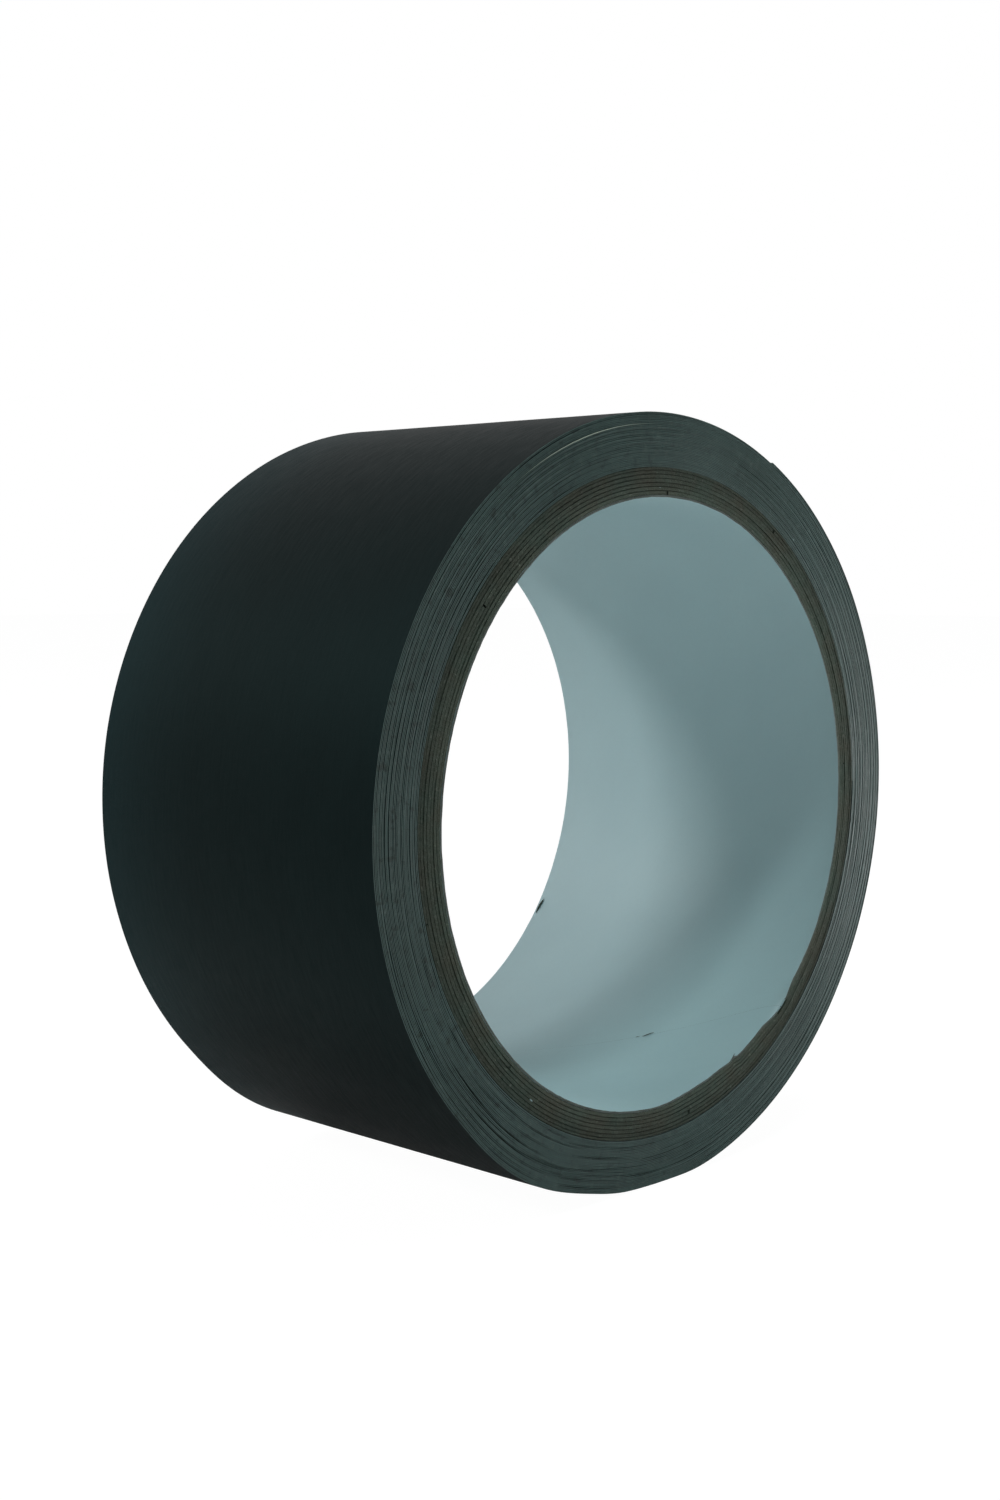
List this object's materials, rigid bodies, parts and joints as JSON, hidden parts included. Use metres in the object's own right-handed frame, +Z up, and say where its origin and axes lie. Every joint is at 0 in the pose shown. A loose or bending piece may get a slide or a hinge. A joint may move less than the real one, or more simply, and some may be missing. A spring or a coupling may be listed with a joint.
{
  "type": "adhesive tape roll",
  "caption": "Roll of wide black adhesive tape wound on a white-lined paperboard core, with a free end that peels up from the outer turn.",
  "frame": {"origin": "centre of the core's bore, half way along it", "axes": "+Y along the bore, away from the front end; +Z up, with the roll standing on its rim; +X towards the side that the tape's free end lies on"},
  "size_m": [0.0971, 0.05, 0.0965],
  "materials": {
    "black_tape_film": "matte",
    "tape_adhesive": "satin",
    "kraft_board": "matte",
    "white_liner_paper": "satin"
  },
  "bodies": {
    "roll": {"core_liner": "white_liner_paper", "core_ply_1": "kraft_board", "core_ply_2": "kraft_board", "core_ply_3": "kraft_board", "core_ply_4": "kraft_board", "core_ply_5": "kraft_board", "core_ply_6": "kraft_board", "core_outer_ply": "kraft_board", "wound_film": "black_tape_film", "wound_adhesive": "tape_adhesive", "outer_turn_film": "black_tape_film", "outer_turn_adhesive": "tape_adhesive"},
    "end_1": {"end_film_1": "black_tape_film", "end_adhesive_1": "tape_adhesive"},
    "end_2": {"end_film_2": "black_tape_film", "end_adhesive_2": "tape_adhesive"},
    "end_3": {"end_film_3": "black_tape_film", "end_adhesive_3": "tape_adhesive"},
    "end_4": {"end_film_4": "black_tape_film", "end_adhesive_4": "tape_adhesive"},
    "end_5": {"end_film_5": "black_tape_film", "end_adhesive_5": "tape_adhesive"},
    "end_6": {"end_film_6": "black_tape_film", "end_adhesive_6": "tape_adhesive"},
    "end_7": {"end_film_7": "black_tape_film", "end_adhesive_7": "tape_adhesive"},
    "end_8": {"end_film_8": "black_tape_film", "end_adhesive_8": "tape_adhesive"}
  },
  "joints": [
    {"name": "peel_1", "type": "hinge", "parent": "roll", "child": "end_1", "pos_m": [0.04803, 0, -0.00804], "axis": [0, 1, 0], "range_deg": [0, 10]},
    {"name": "peel_2", "type": "hinge", "parent": "end_1", "child": "end_2", "pos_m": [0.04869, 0, -0.00042], "axis": [0, 1, 0], "range_deg": [0, 10]},
    {"name": "peel_3", "type": "hinge", "parent": "end_2", "child": "end_3", "pos_m": [0.04816, 0, 0.0072], "axis": [0, 1, 0], "range_deg": [0, 10]},
    {"name": "peel_4", "type": "hinge", "parent": "end_3", "child": "end_4", "pos_m": [0.04644, 0, 0.01464], "axis": [0, 1, 0], "range_deg": [0, 10]},
    {"name": "peel_5", "type": "hinge", "parent": "end_4", "child": "end_5", "pos_m": [0.04358, 0, 0.02173], "axis": [0, 1, 0], "range_deg": [0, 10]},
    {"name": "peel_6", "type": "hinge", "parent": "end_5", "child": "end_6", "pos_m": [0.03964, 0, 0.02828], "axis": [0, 1, 0], "range_deg": [0, 10]},
    {"name": "peel_7", "type": "hinge", "parent": "end_6", "child": "end_7", "pos_m": [0.03473, 0, 0.03413], "axis": [0, 1, 0], "range_deg": [0, 10]},
    {"name": "peel_8", "type": "hinge", "parent": "end_7", "child": "end_8", "pos_m": [0.02896, 0, 0.03914], "axis": [0, 1, 0], "range_deg": [0, 10]}
  ],
  "couplings": [
    {"joint": "peel_2", "follows": "peel_1", "ratio": 1},
    {"joint": "peel_3", "follows": "peel_1", "ratio": 1},
    {"joint": "peel_4", "follows": "peel_1", "ratio": 1},
    {"joint": "peel_5", "follows": "peel_1", "ratio": 1},
    {"joint": "peel_6", "follows": "peel_1", "ratio": 1},
    {"joint": "peel_7", "follows": "peel_1", "ratio": 1},
    {"joint": "peel_8", "follows": "peel_1", "ratio": 1}
  ]
}
